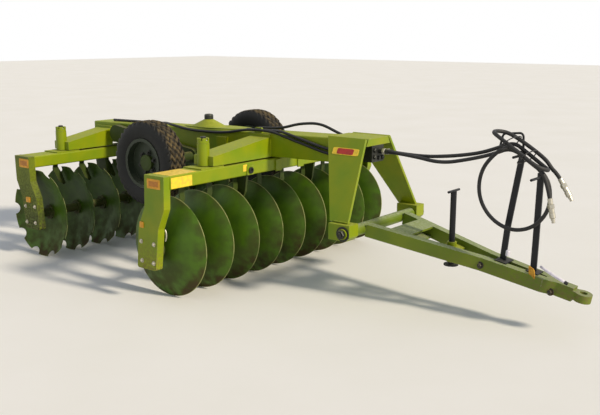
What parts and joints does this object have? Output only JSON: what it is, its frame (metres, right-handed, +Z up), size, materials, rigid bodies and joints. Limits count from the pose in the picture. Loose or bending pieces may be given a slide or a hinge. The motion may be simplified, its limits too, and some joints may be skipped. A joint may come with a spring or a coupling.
{
  "type": "trailed offset disc harrow",
  "caption": "Trailed offset disc harrow: plain front gang and notched rear gang under a beam frame, lift wheels between them, hinged drawbar with parking jack.",
  "frame": {"origin": "on the ground under the middle of the overall box", "axes": "+X forwards to the hitch, +Y to the machine's left, +Z up"},
  "size_m": [4.0654, 2.285, 1.0579],
  "materials": {
    "green_enamel": "semi-gloss green enamel, dusty",
    "disc_steel": "green enamel worn and soiled towards the rim",
    "gang_castings": "green enamel over castings, soiled",
    "tyre_rubber": "matt black rubber",
    "black_enamel": "satin black enamel",
    "chromed_rod": "polished",
    "dark_steel": "dark phosphated steel",
    "hose_rubber": "black hose rubber with a cloth-like cover",
    "zinc_plate": "zinc-plated steel"
  },
  "bodies": {
    "frame": {"main_beam": "green_enamel", "front_right_arm": "green_enamel", "front_left_arm": "green_enamel", "rear_right_arm": "green_enamel", "rear_left_arm": "green_enamel", "right_tower_leg": "green_enamel", "left_tower_leg": "green_enamel", "right_drawbar_bracket": "green_enamel", "left_drawbar_bracket": "green_enamel", "tower_head": "green_enamel", "hydraulic_block": "dark_steel", "lift_cylinder_anchor": "green_enamel", "beam_pin_cap": "green_enamel", "beam_lugs": "green_enamel", "oil_pipes": "hose_rubber"},
    "front_gang": {"front_gang_beam": "green_enamel", "front_end_hangers": "green_enamel", "front_middle_hangers": "green_enamel", "front_bearings": "gang_castings", "front_scrapers": "green_enamel", "front_pivot_pins": "green_enamel"},
    "rear_gang": {"rear_gang_beam": "green_enamel", "rear_end_hangers": "green_enamel", "rear_middle_hangers": "green_enamel", "rear_bearings": "gang_castings", "rear_scrapers": "green_enamel", "rear_pivot_pins": "green_enamel"},
    "front_rotor": {"front_discs": "disc_steel", "front_axle": "gang_castings", "front_spools": "gang_castings"},
    "rear_rotor": {"rear_discs": "disc_steel", "rear_axle": "gang_castings", "rear_spools": "gang_castings"},
    "wheel_axle": {"rock_shaft": "green_enamel", "crank_frame": "green_enamel"},
    "right_wheel": {"right_tyre": "tyre_rubber", "right_rim": "green_enamel", "right_hub": "green_enamel"},
    "left_wheel": {"left_tyre": "tyre_rubber", "left_rim": "green_enamel", "left_hub": "green_enamel"},
    "lift_barrel": {"lift_cylinder_barrel": "green_enamel"},
    "lift_rod": {"lift_cylinder_rod": "chromed_rod"},
    "drawbar": {"drawbar_hinge_tube": "green_enamel", "right_drawbar_beam": "green_enamel", "left_drawbar_beam": "green_enamel", "drawbar_cross_plates": "green_enamel", "hitch_nose": "green_enamel", "jack_sleeve": "green_enamel", "rear_hose_stand": "black_enamel", "front_hose_stand": "black_enamel", "upper_hose": "hose_rubber", "lower_hose": "hose_rubber", "hose_loop": "hose_rubber", "hose_hank": "hose_rubber", "upper_hose_end": "hose_rubber", "lower_hose_end": "hose_rubber", "hose_couplers": "zinc_plate"},
    "jack_leg": {"jack_leg": "green_enamel"}
  },
  "joints": [
    {"name": "front_gang_angle", "type": "hinge", "parent": "frame", "child": "front_gang", "pos_m": [-0.10651, -0.7475, 0.76], "axis": [0, 0, -1], "range_deg": [0, 18]},
    {"name": "rear_gang_angle", "type": "hinge", "parent": "frame", "child": "rear_gang", "pos_m": [-1.66651, -0.6175, 0.708], "axis": [0, 0, 1], "range_deg": [0, 15]},
    {"name": "front_discs_spin", "type": "hinge", "parent": "front_gang", "child": "front_rotor", "pos_m": [-0.19651, 0, 0.305], "axis": [0, 1, 0], "continuous": true},
    {"name": "rear_discs_spin", "type": "hinge", "parent": "rear_gang", "child": "rear_rotor", "pos_m": [-1.57651, 0, 0.305], "axis": [0, 1, 0], "continuous": true},
    {"name": "axle_lift", "type": "hinge", "parent": "frame", "child": "wheel_axle", "pos_m": [-1.48651, -0.1175, 0.81786], "axis": [0, 1, 0], "range_deg": [0, 45]},
    {"name": "right_wheel_spin", "type": "hinge", "parent": "wheel_axle", "child": "right_wheel", "pos_m": [-0.7045, -0.6355, 0.72086], "axis": [0, 1, 0], "continuous": true},
    {"name": "left_wheel_spin", "type": "hinge", "parent": "wheel_axle", "child": "left_wheel", "pos_m": [-0.7045, 0.4005, 0.72086], "axis": [0, 1, 0], "continuous": true},
    {"name": "lift_barrel_swing", "type": "hinge", "parent": "frame", "child": "lift_barrel", "pos_m": [-0.8575, -0.1175, 0.70395], "axis": [0, 1, 0], "range_deg": [0, 0.5]},
    {"name": "lift_rod_slide", "type": "slide", "parent": "lift_barrel", "child": "lift_rod", "axis": [-0.9999, 0, -0.0107], "range_m": [0, 0.1]},
    {"name": "drawbar_hinge", "type": "hinge", "parent": "frame", "child": "drawbar", "pos_m": [0.75849, -0.1175, 0.44], "axis": [0, -1, 0], "range_deg": [0, 25], "deforming": ["upper_hose", "lower_hose"]},
    {"name": "jack_slide", "type": "slide", "parent": "drawbar", "child": "jack_leg", "axis": [0, 0, -1], "range_m": [0, 0.25]}
  ],
  "couplings": [
    {"joint": "lift_barrel_swing", "follows": "axle_lift", "ratio": 0.002},
    {"joint": "lift_rod_slide", "follows": "axle_lift", "m_per_rad": 0.12668}
  ]
}
